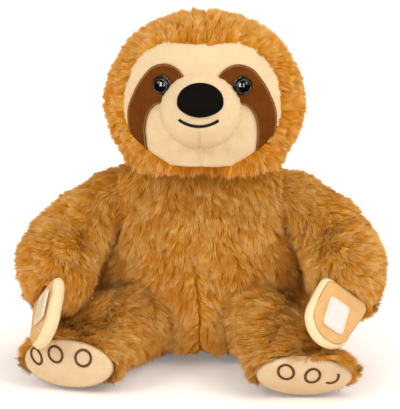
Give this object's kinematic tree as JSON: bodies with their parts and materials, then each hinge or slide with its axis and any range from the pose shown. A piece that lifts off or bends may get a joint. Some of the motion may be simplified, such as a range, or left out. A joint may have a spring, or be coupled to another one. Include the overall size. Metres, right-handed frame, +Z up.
{
  "type": "plush sloth",
  "caption": "Seated soft toy sloth with long brown pile, cream velour face, hands and soles, dark eye patches and palms that fasten together",
  "frame": {"origin": "Middle of the bounding box's underside, on the surface that the toy sits on.", "axes": "+Z up. The toy faces -Y. +X is the viewer's right, seen from the front; left and right in the names are the viewer's."},
  "size_m": [0.2626, 0.1742, 0.2545],
  "materials": {
    "pile_fur": "long soft pile, matt",
    "stuffing_fibre": "loose white polyester fibre",
    "cream_velour": "short pile velour, matt",
    "brown_velour": "short pile velour, stitched edge",
    "eye_plastic": "moulded and polished",
    "washer_plastic": "moulded",
    "nose_velour": "black velour, matt",
    "mouth_thread": "black embroidery thread",
    "toe_thread": "brown embroidery thread",
    "loop_tape": "loop side of a hook-and-loop tape",
    "hook_tape": "hook side of a hook-and-loop tape"
  },
  "bodies": {
    "torso": {"body_fur_right": "pile_fur", "body_fur_left": "pile_fur", "body_stuffing": "stuffing_fibre"},
    "head": {"head_fur_right": "pile_fur", "head_fur_left": "pile_fur", "head_stuffing": "stuffing_fibre", "face_panel": "cream_velour", "eye_patch_right": "brown_velour", "eye_patch_left": "brown_velour", "eye_right": "eye_plastic", "eye_left": "eye_plastic", "eye_washer_right": "washer_plastic", "eye_washer_left": "washer_plastic", "muzzle_cover": "cream_velour", "muzzle_stuffing": "stuffing_fibre", "nose": "nose_velour", "mouth": "mouth_thread"},
    "arm_right": {"arm_fur_right": "pile_fur", "arm_stuffing_right": "stuffing_fibre"},
    "hand_right": {"hand_cover_right": "cream_velour", "hand_stuffing_right": "stuffing_fibre", "loop_patch": "loop_tape"},
    "leg_right": {"leg_fur_right": "pile_fur", "leg_stuffing_right": "stuffing_fibre", "sole_right": "cream_velour", "toe_ring_right_1": "toe_thread", "toe_ring_right_2": "toe_thread", "toe_ring_right_3": "toe_thread"},
    "arm_left": {"arm_fur_left": "pile_fur", "arm_stuffing_left": "stuffing_fibre"},
    "hand_left": {"hand_cover_left": "cream_velour", "hand_stuffing_left": "stuffing_fibre", "hook_patch": "hook_tape"},
    "leg_left": {"leg_fur_left": "pile_fur", "leg_stuffing_left": "stuffing_fibre", "sole_left": "cream_velour", "toe_ring_left_1": "toe_thread", "toe_ring_left_2": "toe_thread", "toe_ring_left_3": "toe_thread"}
  },
  "joints": [
    {"name": "head_turn", "type": "hinge", "parent": "torso", "child": "head", "pos_m": [0.0013, 0.02917, 0.1415], "axis": [0, 0, 1], "range_deg": [-25, 25]},
    {"name": "arm_right_swing", "type": "hinge", "parent": "torso", "child": "arm_right", "pos_m": [0.055, 0.03517, 0.1155], "axis": [-1, 0, 0], "range_deg": [0, 75]},
    {"name": "arm_left_swing", "type": "hinge", "parent": "torso", "child": "arm_left", "pos_m": [-0.055, 0.03517, 0.1155], "axis": [-1, 0, 0], "range_deg": [0, 75]},
    {"name": "hand_right_fold", "type": "hinge", "parent": "arm_right", "child": "hand_right", "pos_m": [0.1005, -0.04833, 0.06575], "axis": [-0.757, -0.2523, 0.6028], "range_deg": [0, 30]},
    {"name": "hand_left_fold", "type": "hinge", "parent": "arm_left", "child": "hand_left", "pos_m": [-0.102, -0.04233, 0.062], "axis": [-0.5176, 0.5669, -0.6409], "range_deg": [0, 30]},
    {"name": "leg_right_splay", "type": "hinge", "parent": "torso", "child": "leg_right", "pos_m": [0.038, 0.01717, 0.0265], "axis": [0, 0, 1], "range_deg": [0, 15]},
    {"name": "leg_left_splay", "type": "hinge", "parent": "torso", "child": "leg_left", "pos_m": [-0.038, 0.01717, 0.0265], "axis": [0, 0, -1], "range_deg": [0, 15]}
  ]
}
